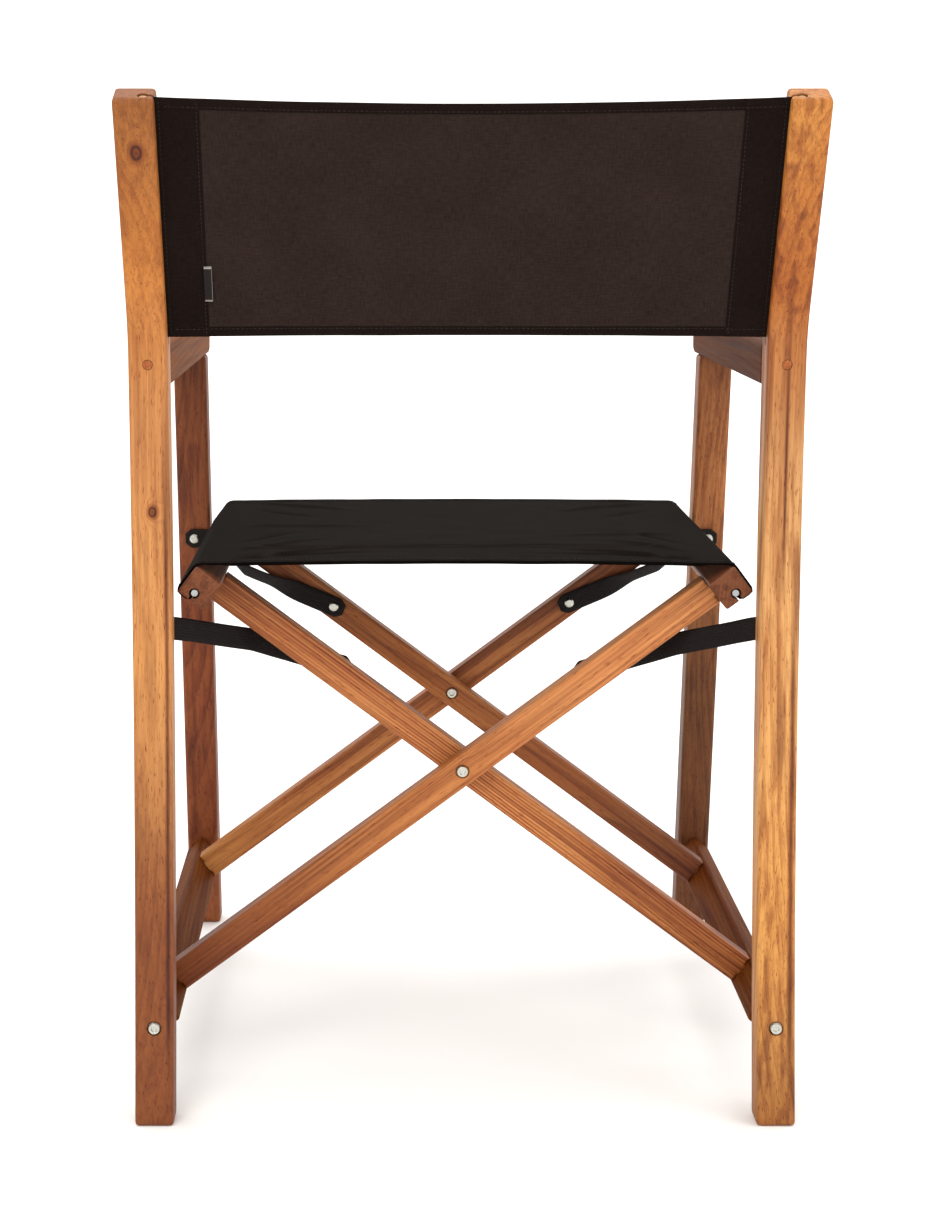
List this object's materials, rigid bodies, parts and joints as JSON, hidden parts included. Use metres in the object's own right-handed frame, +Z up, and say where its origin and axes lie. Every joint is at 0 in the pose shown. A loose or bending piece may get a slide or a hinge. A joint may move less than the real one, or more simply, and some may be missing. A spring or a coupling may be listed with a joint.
{
  "type": "folding chair",
  "caption": "Folding wooden armchair with a dark sling seat and back, curved rear legs, crossed bars between two side frames, and webbing stop straps.",
  "frame": {"origin": "on the floor, under the middle of the bounding box", "axes": "+Z is up, +Y points to the back of the chair, +X to the sitter's left; the sitter faces -Y"},
  "size_m": [0.565, 0.5754, 0.8666],
  "materials": {
    "post_wood": "oiled hardwood, satin",
    "bar_wood": "oiled hardwood, satin",
    "rail_wood": "oiled hardwood, satin",
    "cloth": "matt woven polyester canvas",
    "webbing": "woven strap",
    "nickel": "nickel plated",
    "steel": "zinc plated"
  },
  "bodies": {
    "left_side_frame": {"rear_post_left": "post_wood", "front_post_left": "post_wood", "arm_left": "post_wood", "arm_dowel_left": "rail_wood", "arm_screw_left": "steel", "arm_screw_plug_left": "post_wood", "back_rod_left": "post_wood", "strap_front_left": "webbing", "strap_rear_left": "webbing", "strap_post_screw_front_left": "nickel", "strap_post_screw_rear_left": "nickel", "back_cloth": "cloth"},
    "outer_frame": {"outer_bar_rear": "bar_wood", "outer_bar_front": "bar_wood", "outer_seat_rail": "rail_wood", "outer_bottom_rail": "rail_wood", "seat_rod_right": "steel", "strap_bar_screw_front_right": "nickel", "strap_bar_screw_rear_right": "nickel", "pivot_bolt_rear_left": "nickel", "pivot_insert_rear_left": "steel", "pivot_washer_rear_left": "steel", "pivot_bolt_front_left": "nickel", "pivot_insert_front_left": "steel", "pivot_washer_front_left": "steel", "cross_bolt_rear": "nickel", "cross_bolt_front": "nickel", "cross_nut_rear": "nickel", "cross_nut_front": "nickel", "cross_washer_rear": "steel", "cross_washer_front": "steel", "seat_cloth": "cloth"},
    "inner_frame": {"inner_bar_rear": "bar_wood", "inner_bar_front": "bar_wood", "inner_seat_rail": "rail_wood", "inner_bottom_rail": "rail_wood", "seat_rod_left": "steel", "strap_bar_screw_front_left": "nickel", "strap_bar_screw_rear_left": "nickel", "pivot_bolt_rear_right": "nickel", "pivot_insert_rear_right": "steel", "pivot_washer_rear_right": "steel", "pivot_bolt_front_right": "nickel", "pivot_insert_front_right": "steel", "pivot_washer_front_right": "steel"},
    "right_side_frame": {"rear_post_right": "post_wood", "front_post_right": "post_wood", "arm_right": "post_wood", "arm_dowel_right": "rail_wood", "arm_screw_right": "steel", "arm_screw_plug_right": "post_wood", "back_rod_right": "post_wood", "strap_front_right": "webbing", "strap_rear_right": "webbing", "strap_post_screw_front_right": "nickel", "strap_post_screw_rear_right": "nickel"}
  },
  "joints": [
    {"name": "fold", "type": "hinge", "parent": "left_side_frame", "child": "outer_frame", "pos_m": [0.266, 0, 0.083], "axis": [0, 1, 0], "range_deg": [0, 35.15], "deforming": ["back_cloth", "strap_front_left", "strap_rear_left"]},
    {"name": "cross", "type": "hinge", "parent": "outer_frame", "child": "inner_frame", "pos_m": [0, 0, 0.283], "axis": [0, -1, 0], "range_deg": [0, 76.1], "deforming": ["seat_cloth"]},
    {"name": "right_pivot", "type": "hinge", "parent": "inner_frame", "child": "right_side_frame", "pos_m": [-0.266, 0, 0.083], "axis": [0, 1, 0], "range_deg": [0, 35.2], "deforming": ["strap_front_right", "strap_rear_right"]}
  ],
  "couplings": [
    {"joint": "cross", "follows": "fold", "ratio": 2.1622},
    {"joint": "right_pivot", "follows": "fold", "ratio": 1}
  ]
}
